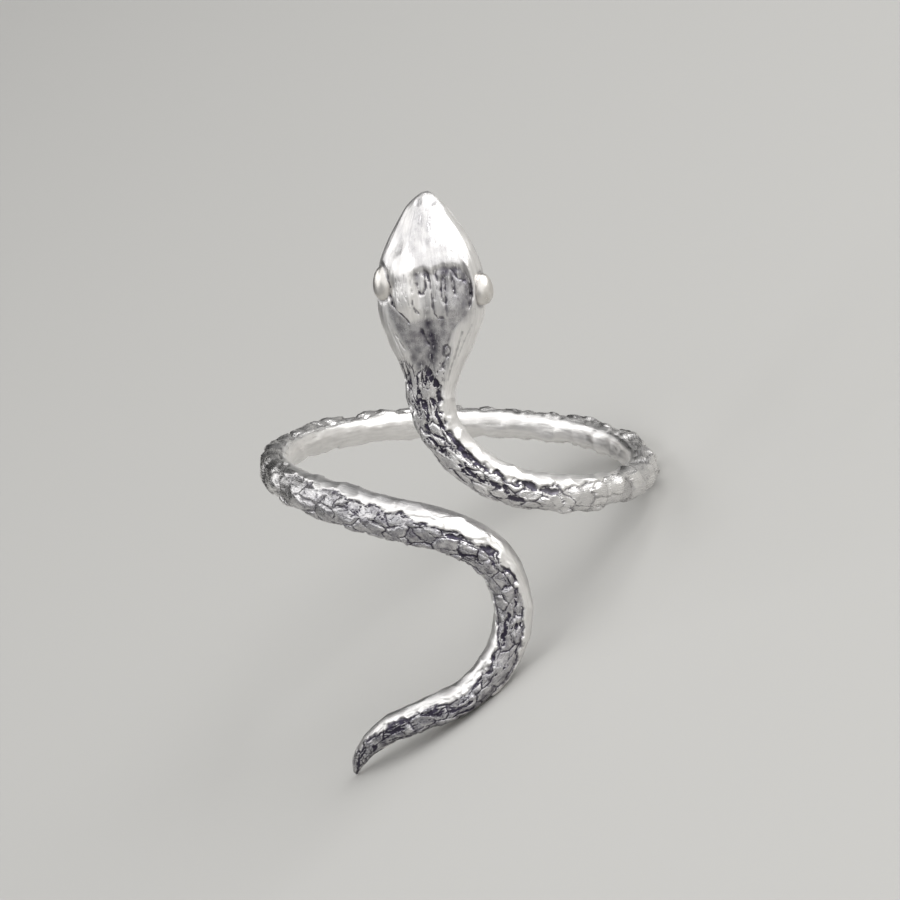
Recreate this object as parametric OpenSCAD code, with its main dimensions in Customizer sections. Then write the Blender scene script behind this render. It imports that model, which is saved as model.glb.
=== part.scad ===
// Snake ring in cast silver, a single piece. The snake makes one turn round the finger: its head lies
// up the finger, and its tail winds down it in a loop. Put down, the ring stands on three places: the
// side of its band, the loop of the tail and the tip of the tail.

/* [Finger] */
// Inner diameter of the band
finger_d = 17.7; // [15:0.1:21]

/* [Body] */
// Width of the body, measured along the finger
body_w = 1.95; // [1.7:0.05:2.3]
// Thickness of the body, from the finger outwards
body_t = 1.85; // [1.6:0.05:2.2]
// Length of a carved scale
scale_l = 1; // [0.95:0.05:1.5]
// Depth of the grooves between the scales
groove_depth = 0.11; // [0:0.01:0.15]
// How uneven the hand carving is, from none to full
unevenness = 1; // [0:0.1:1]

/* [Head] */
// Width of the head across the jaws
head_w = 5.4; // [4.6:0.1:6]
// Thickness of the head at the brow
head_t = 2.9; // [2.5:0.1:3.3]
// Length of an eye
eye_l = 1.7; // [1.3:0.1:1.9]
// Diameter of a nostril
nostril_d = 0.46; // [0.3:0.02:0.5]

/* [Hidden] */

finger_r = finger_d / 2;

// The run of the body, from the snout to the tip of the tail
// [angle round the finger from its front, height along the finger]
RUN = [
    [-10.0, 16.4], [-9.8, 15.2], [-8.8, 13.4], [-8.0, 11.6], [-8.0, 9.6], [-8.1, 7.6],
    [-8.3, 5.9], [-6.1, 4.5], [-0.8, 3.2], [5.0, 2.3], [12.5, 1.5], [22.0, 0.95],
    [37.0, 0.45], [58.0, 0.1], [90.0, 0.0], [135.0, 0.1], [180.0, 0.0], [225.0, 0.0],
    [270.0, 0.0], [301.0, 0.0], [323.0, -0.15], [340.0, -0.55], [354.0, -0.95], [365.5, -1.8],
    [372.5, -3.0], [376.1, -4.7], [375.8, -6.4], [371.5, -8.15], [362.0, -9.8], [349.0, -10.9],
    [338.0, -11.85], [329.5, -13.1], [325.5, -14.0], [323.2, -14.8],
];

// Sections of the head and neck, as shares of head_w and head_t
// [distance from the snout, width, rise above the jaw line, depth below it]
HEAD = [
    [0.0, 0.13, 0.10, 0.10], [0.12, 0.22, 0.15, 0.14], [0.45, 0.31, 0.21, 0.18], [1.2, 0.5, 0.32, 0.24],
    [2.2, 0.74, 0.44, 0.31], [3.2, 0.91, 0.56, 0.37], [3.7, 0.96, 0.6, 0.39], [4.2, 0.99, 0.575, 0.4],
    [5.0, 1.0, 0.56, 0.4], [5.8, 1.0, 0.53, 0.4], [6.5, 0.95, 0.49, 0.39], [7.1, 0.86, 0.46, 0.375],
    [7.8, 0.77, 0.42, 0.36], [8.5, 0.65, 0.385, 0.345], [9.3, 0.54, 0.355, 0.335], [10.3, 0.47, 0.34, 0.33],
    [11.5, 0.44, 0.33, 0.325], [13.5, 0.4, 0.32, 0.32],
];

// Girth of the body, as shares of body_w and body_t
// [distance from the tip of the tail, width, thickness]
GIRTH = [
    [0.0, 0.12, 0.12], [0.5, 0.26, 0.27], [1.2, 0.42, 0.44], [2.4, 0.6, 0.62], [3.6, 0.72, 0.74],
    [5.5, 0.84, 0.84], [8.5, 0.93, 0.92], [12.0, 1.04, 1.0], [16.0, 1.12, 1.04], [20.0, 1.18, 1.05],
    [25.0, 1.15, 1.04], [30.0, 1.06, 0.98], [35.0, 0.93, 0.93], [42.0, 0.92, 0.93], [50.0, 0.95, 0.95],
    [60.0, 0.92, 0.93], [68.0, 0.93, 0.93], [75.0, 1.03, 1.0], [79.0, 1.1, 1.02], [84.0, 1.1, 1.02],
    [100.0, 1.1, 1.02],
];

// Raised brow over an eye
// [distance from the snout, distance from the midline, height above the jaw line, radius]
BROW = [
    [2.5, 1.42, 1.02, 0.16], [3.3, 1.9, 1.18, 0.26], [4.1, 2.12, 1.2, 0.3], [4.9, 2.16, 1.16, 0.28],
    [5.7, 2.0, 1.04, 0.24], [6.4, 1.7, 0.94, 0.16],
];

// The two eyes, which are set by hand and so not quite alike
// [hand, distance from the snout, distance from the midline, height above the jaw line]
EYES = [
    [-1, 4.75, 2.22, 0.66], [1, 4.9, 2.42, 0.66],
];
eye_share = 0.78;
nostril_at = 0.42;
nostril_out = 0.36;
nostril_up = 0.6;

// How square the sections are, where 2 is an ellipse
HEAD_SQUARE = 2.5;
OUTER_SQUARE = 2.6;
INNER_SQUARE = 2.1;

// Round the body there are 5 columns of scales on the outside, and a smooth inside
columns = 5;
column_sides = 3;
smooth_sides = 5;
carved_from = -30;
carved_to = 210;
carved_sides = columns * column_sides;
sides = carved_sides + smooth_sides;

// Along it there are 3 rings to a scale, and the scales of a column stand off those of the next
row_rings = 3;
most_rows = 87;
head_step = 0.28;
scales_from = 8.4;
scales_full = 10.4;
neck_from = 10.4;
neck_to = 13.5;

function unit(v) = v / norm(v);
function column(rows, c) = [for (r = rows) r[c]];
function pairs(rows, c) = [for (r = rows) [r[0], r[c]]];
function ease(t) = let (u = min(1, max(0, t))) u * u * (3 - 2 * u);

// A smooth curve through the rows of a table, with a few steps between two rows
function blend(a, b, c, d, t) =
    0.5 * (2 * b + (c - a) * t + (2 * a - 5 * b + 4 * c - d) * t * t + (3 * b - a - 3 * c + d) * t * t * t);
function smooth(rows, steps) =
    let (n = len(rows))
    let (ends = concat([2 * rows[0] - rows[1]], rows, [2 * rows[n - 1] - rows[n - 2]]))
    concat(
        [
            for (i = [0:n - 2], k = [0:steps - 1])
                blend(ends[i], ends[i + 1], ends[i + 2], ends[i + 3], k / steps)
        ],
        [rows[n - 1]]
    );

// The finger's frame has Z along the finger, and the head and tail at its front
function on_finger(angle, height, radius) = [radius * sin(angle), -radius * cos(angle), height];

// The run against its own length
run = smooth(RUN, 12);
run_points = [for (p = run) on_finger(p[0], p[1], finger_r + body_t / 2)];
run_steps = [for (i = [1:len(run) - 1]) norm(run_points[i] - run_points[i - 1])];
run_lengths = [
    for (i = 0, s = 0; i < len(run); s = s + (i < len(run_steps) ? run_steps[i] : 0), i = i + 1) s
];
body_l = run_lengths[len(run) - 1];
angle_table = [for (i = [0:len(run) - 1]) [run_lengths[i], run[i][0]]];
height_table = [for (i = [0:len(run) - 1]) [run_lengths[i], run[i][1]]];

head_rows = smooth(HEAD, 6);
head_widths = pairs(head_rows, 1);
head_rises = pairs(head_rows, 2);
head_depths = pairs(head_rows, 3);
girth_rows = smooth(GIRTH, 6);
girth_widths = pairs(girth_rows, 1);
girth_thicknesses = pairs(girth_rows, 2);

// Sizes of the section at a distance from the snout, where the neck passes from the head to the body
function mixed(head, body, s) = head + (body - head) * ease((s - neck_from) / (neck_to - neck_from));
function body_half(s) = body_t / 2 * lookup(body_l - s, girth_thicknesses);
function half_width(s) =
    mixed(head_w * lookup(s, head_widths), body_w * lookup(body_l - s, girth_widths), s) / 2;
function rise(s) = mixed(head_t * lookup(s, head_rises), body_half(s), s);
function depth(s) = mixed(head_t * lookup(s, head_depths), body_half(s), s);

// The body's middle line, which keeps its underside on the finger, and the directions along it
function middle(s) = on_finger(lookup(s, angle_table), lookup(s, height_table), finger_r + depth(s));
function along(s) = unit(middle(min(body_l, s + 0.15)) - middle(max(0, s - 0.15)));
function outward(s) =
    let (t = along(s), out = on_finger(lookup(s, angle_table), 0, 1))
    unit(out - (out * t) * t);
function across(s) = cross(outward(s), along(s));
function placed(s, out, up) = middle(s) + out * across(s) + up * outward(s);

// A point of a section, at an angle that is 0 on the snake's right and 90 on its back
function power(v, square) = sign(v) * pow(abs(v), 2 / square);
function section_point(s, a, share) =
    let (square = mixed(HEAD_SQUARE, sin(a) > 0 ? OUTER_SQUARE : INNER_SQUARE, s))
    placed(
        s,
        share * half_width(s) * power(cos(a), square),
        share * (sin(a) > 0 ? rise(s) : depth(s)) * power(sin(a), square)
    );

// A number from -1 to 1 that stays the same for the same ring and side
function uneven(ring, side, kind) = unevenness * rands(-1, 1, 1, 1000 * kind + 31 * ring + side)[0];

// How far the carving goes at a place on the skin, from 0 to 1
function carved(a, s) =
    min(1, max(0, min(a - carved_from, carved_to - a) / 25)) * ease((s - scales_from) / (scales_full - scales_from));

// Whether a vertex lies in a groove, between two columns or between two scales of a column
function in_groove(ring, side) =
    side % column_sides == 0 || (ring + 2 * floor(side / column_sides)) % row_rings == 0;
function side_angle(side) =
    side < carved_sides
        ? carved_from + (carved_to - carved_from) * side / carved_sides
        : carved_to + (360 + carved_from - carved_to) * (side - carved_sides) / smooth_sides;
function skin_point(ring, side, s0) =
    let (a0 = side_angle(side), cut = carved(a0, s0))
    let (a = a0 + 5 * cut * uneven(ring, side, 1))
    let (s = min(body_l, s0 + 0.1 * cut * uneven(ring, side, 2) * min(1, (body_l - s0) / 2)))
    let (worn = 0.28 * (1 + uneven(floor(ring / row_rings), floor(side / column_sides), 3)))
    let (sunk = cut * groove_depth * (in_groove(ring, side) ? 1 : worn))
    section_point(s, a, 1 - min(0.16, sunk / min(half_width(s), rise(s))));

// The skin, ring by ring
head_rings = ceil(scales_from / head_step);
body_rings = row_rings * min(most_rows, round((body_l - scales_from) / scale_l));
stations = concat(
    [for (i = [0:head_rings - 1]) scales_from * i / head_rings],
    [for (i = [0:body_rings]) scales_from + (body_l - scales_from) * i / body_rings]
);
rings = len(stations);
skin = [for (i = [0:rings - 1], j = [0:sides - 1]) skin_point(i, j, stations[i])];
skin_faces = concat(
    [
        for (i = [0:rings - 2], j = [0:sides - 1])
            let (a = i * sides + j, b = i * sides + (j + 1) % sides)
            [b, a, a + sides, b + sides]
    ],
    [[for (j = [0:sides - 1]) j]],
    [[for (j = [sides - 1:-1:0]) (rings - 1) * sides + j]]
);

// How the ring stands by itself. A plane is laid on the lowest point of each of the three places,
// and again until it lies still.
function places_between(from, to) =
    [
        for (i = [0:rings - 1])
            if (stations[i] >= from && stations[i] <= to)
                for (j = [0:sides - 1]) skin[i * sides + j]
    ];
band_side = places_between(24, 42);
tail_loop = places_between(body_l - 14, body_l - 5);
tail_tip = places_between(body_l - 1.5, body_l);
function lowest(points, up) =
    let (heights = [for (p = points) p * up], least = min(heights))
    [for (i = [0:len(points) - 1]) if (heights[i] == least) points[i]][0];
function standing(up, tries) =
    tries == 0
        ? up
        : let (a = lowest(band_side, up), b = lowest(tail_loop, up), c = lowest(tail_tip, up))
          let (n = unit(cross(b - a, c - a)))
          standing(n * up > 0 ? n : -n, tries - 1);
up = standing(unit([-0.62, -0.17, 0.77]), 8);
// The front is turned to -Y, as it is seen from a little above the band
seen_from_above = 14;
view = [0, cos(seen_from_above), -sin(seen_from_above)];
back = unit(view - (view * up) * up);
right = cross(back, up);
function turned(p) = [p * right, p * back, p * up];
skin_turned = [for (p = skin) turned(p)];
eye_r = eye_l * eye_share / 2;
eye_fronts = [for (e = EYES) turned(placed(e[1], e[0] * e[2], e[3])) - [0, eye_r, 0]];
all_points = concat(skin_turned, eye_fronts);
low = [for (c = [0:2]) min(column(all_points, c))];
high = [for (c = [0:2]) max(column(all_points, c))];
floor_point = [(low[0] + high[0]) / 2, (low[1] + high[1]) / 2, low[2]];
function stood(p) = turned(p) - floor_point;

// Everything but the eyes, the brows and the nostrils
module body() {
    polyhedron(points = [for (p = skin_turned) p - floor_point], faces = skin_faces, convexity = 10);
}

module ball(s, out, up, r, fine) {
    translate(stood(placed(s, out, up)))
        sphere(r = r, $fn = fine);
}

module eye(hand, s, out, up) {
    reach = eye_l / 2 - eye_r;
    hull() {
        ball(s - reach, hand * out, up, eye_r, 14);
        ball(s + reach, hand * out, up, eye_r, 14);
    }
}

module brow(hand) {
    for (i = [0:len(BROW) - 2]) {
        hull() {
            ball(BROW[i][0], hand * BROW[i][1], BROW[i][2], BROW[i][3], 8);
            ball(BROW[i + 1][0], hand * BROW[i + 1][1], BROW[i + 1][2], BROW[i + 1][3], 8);
        }
    }
}

module snake_ring() {
    color("silver")
        difference() {
            union() {
                body();
                for (e = EYES) {
                    eye(e[0], e[1], e[2], e[3]);
                    brow(e[0]);
                }
            }
            for (hand = [-1, 1]) {
                ball(nostril_at, hand * nostril_out, nostril_up, nostril_d / 2, 8);
            }
        }
}

snake_ring();
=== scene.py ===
"""A worn snake ring in cast sterling silver, satin brushed, with its carved scales blackened.

Sizes are in millimetres and are turned to metres as a mesh is made. A place on the snake is given by s,
its distance from the snout, and by x, how far it lies across, above 0 on the side of the right eye.
"""

import math

import bmesh
import bpy
import numpy as np
from mathutils import Matrix, Vector


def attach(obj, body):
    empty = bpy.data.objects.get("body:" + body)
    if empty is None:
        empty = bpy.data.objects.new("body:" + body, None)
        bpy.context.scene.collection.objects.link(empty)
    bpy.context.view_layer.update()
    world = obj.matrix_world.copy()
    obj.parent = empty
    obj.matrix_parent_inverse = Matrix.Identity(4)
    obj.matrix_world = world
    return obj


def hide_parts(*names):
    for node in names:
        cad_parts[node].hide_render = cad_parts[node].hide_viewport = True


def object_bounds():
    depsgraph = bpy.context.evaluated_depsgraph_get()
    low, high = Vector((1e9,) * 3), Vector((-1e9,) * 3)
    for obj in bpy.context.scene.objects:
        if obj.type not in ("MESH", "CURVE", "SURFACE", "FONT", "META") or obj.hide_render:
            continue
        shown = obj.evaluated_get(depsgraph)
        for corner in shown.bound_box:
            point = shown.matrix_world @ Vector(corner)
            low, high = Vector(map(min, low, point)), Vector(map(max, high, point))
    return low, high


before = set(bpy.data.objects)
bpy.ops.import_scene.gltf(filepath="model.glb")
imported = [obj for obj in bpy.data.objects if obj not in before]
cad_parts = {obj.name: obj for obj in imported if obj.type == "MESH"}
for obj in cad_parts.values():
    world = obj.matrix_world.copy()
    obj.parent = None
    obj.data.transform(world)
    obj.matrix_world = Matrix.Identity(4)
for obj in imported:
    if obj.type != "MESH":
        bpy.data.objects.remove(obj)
cad_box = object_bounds()

MM = 0.001

# The solid that the skin follows

FINGER_R = 8.85
BODY_WIDTH, BODY_THICKNESS = 1.95, 1.85
HEAD_WIDTH, HEAD_THICKNESS = 5.4, 2.9
HEAD_SQUARE, BACK_SQUARE, INSIDE_SQUARE = 2.5, 2.6, 2.1
NECK_FROM, NECK_TO = 10.4, 13.5

# The run round the finger: angle from the front, and height along the finger
RUN = [
    (-10.0, 16.4), (-9.8, 15.2), (-8.8, 13.4), (-8.0, 11.6), (-8.0, 9.6), (-8.1, 7.6),
    (-8.3, 5.9), (-6.1, 4.5), (-0.8, 3.2), (5.0, 2.3), (12.5, 1.5), (22.0, 0.95),
    (37.0, 0.45), (58.0, 0.1), (90.0, 0.0), (135.0, 0.1), (180.0, 0.0), (225.0, 0.0),
    (270.0, 0.0), (301.0, 0.0), (323.0, -0.15), (340.0, -0.55), (354.0, -0.95),
    (365.5, -1.8), (372.5, -3.0), (376.1, -4.7), (375.8, -6.4), (371.5, -8.15),
    (362.0, -9.8), (349.0, -10.9), (338.0, -11.85), (329.5, -13.1), (325.5, -14.0),
    (323.2, -14.8),
]
# The head: distance from the snout, share of its width, rise and depth as shares of its thickness
HEAD = [
    (0.0, 0.13, 0.10, 0.10), (0.12, 0.22, 0.15, 0.14), (0.45, 0.31, 0.21, 0.18),
    (1.2, 0.5, 0.32, 0.24), (2.2, 0.74, 0.44, 0.31), (3.2, 0.91, 0.56, 0.37),
    (3.7, 0.96, 0.6, 0.39), (4.2, 0.99, 0.575, 0.4), (5.0, 1.0, 0.56, 0.4),
    (5.8, 1.0, 0.53, 0.4), (6.5, 0.95, 0.49, 0.39), (7.1, 0.86, 0.46, 0.375),
    (7.8, 0.77, 0.42, 0.36), (8.5, 0.65, 0.385, 0.345), (9.3, 0.54, 0.355, 0.335),
    (10.3, 0.47, 0.34, 0.33), (11.5, 0.44, 0.33, 0.325), (13.5, 0.4, 0.32, 0.32),
]
# The body: distance from the tip of the tail, shares of its width and thickness
GIRTH = [
    (0.0, 0.12, 0.12), (0.5, 0.26, 0.27), (1.2, 0.42, 0.44), (2.4, 0.6, 0.62),
    (3.6, 0.72, 0.74), (5.5, 0.84, 0.84), (8.5, 0.93, 0.92), (12.0, 1.04, 1.0),
    (16.0, 1.12, 1.04), (20.0, 1.18, 1.05), (25.0, 1.15, 1.04), (30.0, 1.06, 0.98),
    (35.0, 0.93, 0.93), (42.0, 0.92, 0.93), (50.0, 0.95, 0.95), (60.0, 0.92, 0.93),
    (68.0, 0.93, 0.93), (75.0, 1.03, 1.0), (79.0, 1.1, 1.02), (84.0, 1.1, 1.02),
    (100.0, 1.1, 1.02),
]

# How square the back's two sides are: distance from the snout, the right eye's side and the other.
# Under 2 a side is a flat bevel that meets the carved face at a ridge.
BEVELS = [
    (8.0, 2.5, 2.5), (9.6, 2.2, 2.4), (11.5, 1.9, 2.5), (14.0, 1.75, 2.6), (20.0, 1.75, 2.6),
    (23.0, 2.2, 2.6), (27.0, 2.5, 2.5), (62.0, 2.5, 2.5), (66.0, 2.1, 2.6), (69.0, 1.8, 2.6),
    (80.0, 1.75, 2.6), (84.0, 1.9, 2.4), (86.5, 2.3, 1.9), (88.5, 2.6, 1.65), (93.0, 2.4, 1.6),
    (95.1, 2.2, 1.8),
]

# How the ring stands by itself, as the part's source works it out: the way up in the finger's frame, and
# where the finger's centre comes
UP = np.array([-0.611642, -0.166954, 0.773318])
FINGER_CENTRE = np.array([3.09206, 0.272481, 7.05045])

# The photo's view of the ring, which the scene's camera shares: how many degrees it looks down, the
# distance and the long lens in millimetres, shifts as shares of the picture's width, and its pixels
SEEN_FROM_ABOVE = 14
DISTANCE, LENS, SENSOR = 260.0, 197.2, 36.0
SHIFT_X, SHIFT_Y = -0.01, 0.0167
PHOTO_SIZE = 900
TIP = math.radians(SEEN_FROM_ABOVE)
TO_CAMERA = np.array([0, -math.cos(TIP), math.sin(TIP)])
PHOTO_UP = np.array([0, math.sin(TIP), math.cos(TIP)])


def ease(t):
    u = np.clip(t, 0, 1)
    return u * u * (3 - 2 * u)


def smoothed(rows, steps):
    """A soft curve through the rows of a table"""
    p = np.array(rows, float)
    p = np.vstack([2 * p[0] - p[1], p, 2 * p[-1] - p[-2]])
    out = []
    for a, b, c, d in zip(p, p[1:], p[2:], p[3:]):
        for t in np.arange(steps) / steps:
            square = (2 * a - 5 * b + 4 * c - d) * t * t
            cube = (3 * b - a - 3 * c + d) * t ** 3
            out.append(0.5 * (2 * b + (c - a) * t + square + cube))
    out.append(p[-2])
    return np.array(out)


def on_finger(angle, height, radius):
    a = np.radians(angle)
    return np.stack([radius * np.sin(a), -radius * np.cos(a), height + 0 * a], -1)


run = smoothed(RUN, 12)
run_points = on_finger(run[:, 0], run[:, 1], FINGER_R + BODY_THICKNESS / 2)
walked = np.concatenate([[0], np.cumsum(np.linalg.norm(np.diff(run_points, axis=0), axis=1))])
LENGTH = walked[-1]
head_rows = smoothed(HEAD, 6)
girth_rows = smoothed(GIRTH, 6)


def mixed(head, body, s):
    return head + (body - head) * ease((s - NECK_FROM) / (NECK_TO - NECK_FROM))


def half_width(s):
    head = HEAD_WIDTH * np.interp(s, head_rows[:, 0], head_rows[:, 1])
    body = BODY_WIDTH * np.interp(LENGTH - s, girth_rows[:, 0], girth_rows[:, 1])
    return mixed(head, body, s) / 2


def half_body(s):
    return BODY_THICKNESS / 2 * np.interp(LENGTH - s, girth_rows[:, 0], girth_rows[:, 2])


def rise(s):
    return mixed(HEAD_THICKNESS * np.interp(s, head_rows[:, 0], head_rows[:, 2]), half_body(s), s)


def depth(s):
    return mixed(HEAD_THICKNESS * np.interp(s, head_rows[:, 0], head_rows[:, 3]), half_body(s), s)


def middle(s):
    angle, height = (np.interp(s, walked, run[:, k]) for k in (0, 1))
    return on_finger(angle, height, FINGER_R + depth(s))


def directions(s):
    """Along the snake, outward from the finger, and across, at each distance"""
    along = middle(np.minimum(LENGTH, s + 0.15)) - middle(np.maximum(0, s - 0.15))
    along /= np.linalg.norm(along, axis=-1, keepdims=True)
    out = on_finger(np.interp(s, walked, run[:, 0]), 0, 1.0)
    out = out - (out * along).sum(-1, keepdims=True) * along
    out /= np.linalg.norm(out, axis=-1, keepdims=True)
    return along, out, np.cross(out, along)


def power(v, square):
    return np.sign(v) * np.abs(v) ** (2 / square)


def section(s, angle, share=1.0, bevelled=True):
    """Across and outward places of the skin. The angle is 90 on the back and 270 on the finger side."""
    a = np.radians(angle)
    back = np.sin(a) > 0
    at, first, other = np.array(BEVELS).T
    side = np.where(np.cos(a) > 0, np.interp(s, at, first), np.interp(s, at, other))
    square = mixed(HEAD_SQUARE, np.where(back, BACK_SQUARE, INSIDE_SQUARE), s)
    square = np.where(back & bevelled, np.minimum(square, side), square)
    tall = np.where(back, rise(s), depth(s))
    return share * half_width(s) * power(np.cos(a), square), share * tall * power(np.sin(a), square)


def standing(points):
    """From the finger's frame to the part's own, in millimetres"""
    up = UP / np.linalg.norm(UP)
    back = (TO_CAMERA @ up) * up - TO_CAMERA
    back /= np.linalg.norm(back)
    turn = np.array([np.cross(back, up), back, up])
    return points @ turn.T


def placed(s, across, outward):
    """A point of the ring in the part's frame, in millimetres"""
    s, across, outward = (np.atleast_1d(np.asarray(v, float)) for v in (s, across, outward))
    _, out, side = directions(s)
    point = middle(s) + across[:, None] * side + outward[:, None] * out
    return standing(point) + FINGER_CENTRE


def in_photo(points):
    """The pixels that points in the finger's frame come at in the photo"""
    away = (DISTANCE - points @ TO_CAMERA)[..., None]
    sideways_and_down = np.stack([points[..., 0], -(points @ PHOTO_UP)], -1)
    return PHOTO_SIZE * (0.5 + np.array([-SHIFT_X, SHIFT_Y]) + LENS / SENSOR * sideways_and_down / away)


def picker(first, last, rings):
    """Makes the function that turns a pixel of the photo into its place on a stretch of the snake.

    The place is s and x, on the skin as it is before its sides are bevelled.
    """
    s = np.linspace(first, last, rings)
    x, y = section(s[:, None], np.linspace(2, 178, 300)[None], bevelled=False)
    _, out, side = directions(s)
    pixels = in_photo(middle(s)[:, None] + x[..., None] * side[:, None] + y[..., None] * out[:, None])

    def place_at(across_photo, down_photo):
        off = ((pixels - (across_photo, down_photo)) ** 2).sum(-1)
        i, j = np.unravel_index(np.argmin(off), off.shape)
        return s[i], x[i, j]

    return place_at


on_head, on_neck, on_bend = picker(0, 14, 900), picker(9, 24, 900), picker(62, 95, 1500)


# Where the carving lies

# Distance from the snout, and the columns named below: the angles that the carving runs between, a
# scale's length and width, the depth of its grooves, how black they are, how far the hammer tilts its
# face, how much of the carving is long black streaks, the half width of the heavy cut beside the
# carving's edge, and how strong the grey on its faces is: partly a thin film, partly painted shade
CARVING = [
    (7.6, 62, 150, 1.1, 0.42, 0.07, 0.9, 0.5, 0.6, 0.0, 0.35),
    (9.0, 60, 168, 1.1, 0.42, 0.11, 1.0, 0.6, 0.8, 0.04, 0.3),
    (12.0, 58, 172, 1.1, 0.5, 0.12, 1.0, 0.6, 0.6, 0.07, 0.45),
    (15.0, 58, 185, 1.05, 0.6, 0.12, 1.0, 0.6, 0.45, 0.08, 0.45),
    (18.0, 58, 195, 1.0, 0.68, 0.12, 0.95, 0.6, 0.35, 0.08, 0.4),
    (20.5, 52, 200, 1.0, 0.75, 0.11, 0.75, 0.8, 0.3, 0.1, 0.3),
    (22.5, 20, 205, 1.05, 0.9, 0.15, 0.3, 1.1, 0.1, 0.03, 0.1),
    (25.0, -25, 210, 1.1, 0.95, 0.17, 0.05, 1.3, 0.0, 0.0, 0.05),
    (45.0, -30, 210, 1.1, 0.95, 0.15, 0.04, 1.3, 0.0, 0.0, 0.05),
    (58.0, -30, 210, 1.1, 0.95, 0.13, 0.05, 1.25, 0.0, 0.0, 0.03),
    (62.5, -20, 210, 1.1, 0.95, 0.11, 0.08, 1.15, 0.0, 0.0, 0.03),
    (65.5, 10, 206, 1.1, 0.9, 0.11, 0.35, 1.0, 0.05, 0.02, 0.3),
    (67.5, 34, 202, 1.05, 0.9, 0.12, 0.7, 0.9, 0.1, 0.05, 0.65),
    (70.0, 42, 200, 0.98, 0.85, 0.11, 0.9, 0.6, 0.12, 0.06, 0.85),
    (74.0, 60, 195, 0.9, 0.75, 0.11, 1.0, 0.6, 0.3, 0.09, 0.9),
    (77.0, 68, 188, 0.9, 0.75, 0.11, 1.0, 0.6, 0.45, 0.1, 0.85),
    (80.0, 67, 180, 0.95, 0.75, 0.11, 1.0, 0.6, 0.5, 0.09, 0.8),
    (82.0, 60, 165, 0.95, 0.75, 0.11, 1.0, 0.6, 0.5, 0.09, 0.8),
    (84.0, 35, 130, 0.9, 0.7, 0.11, 1.0, 0.6, 0.5, 0.09, 0.75),
    (86.5, 5, 116, 0.8, 0.6, 0.11, 1.0, 0.6, 0.7, 0.09, 0.95),
    (89.0, 0, 117, 0.7, 0.5, 0.1, 1.0, 0.6, 0.9, 0.09, 1.0),
    (92.0, 0, 112, 0.55, 0.4, 0.07, 1.0, 0.5, 1.0, 0.07, 1.0),
    (94.5, -10, 130, 0.4, 0.25, 0.03, 1.0, 0.4, 1.0, 0.02, 0.8),
]
# The last column greys the carved faces: partly a thin film, partly painted shade
COLUMNS = (
    "from_angle", "to_angle", "length", "width", "groove_mm", "blackened", "hammered", "streaked",
    "bordered", "filmed_and_shaded",
)
# The columns that the skin carries as attributes
CARVED = COLUMNS[4:]
CARVING_BEGINS, CARVING_FULL = 7.7, 9.0


def carving(s, column):
    rows = np.array(CARVING)
    return np.interp(s, rows[:, 0], rows[:, 1 + COLUMNS.index(column)])
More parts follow.
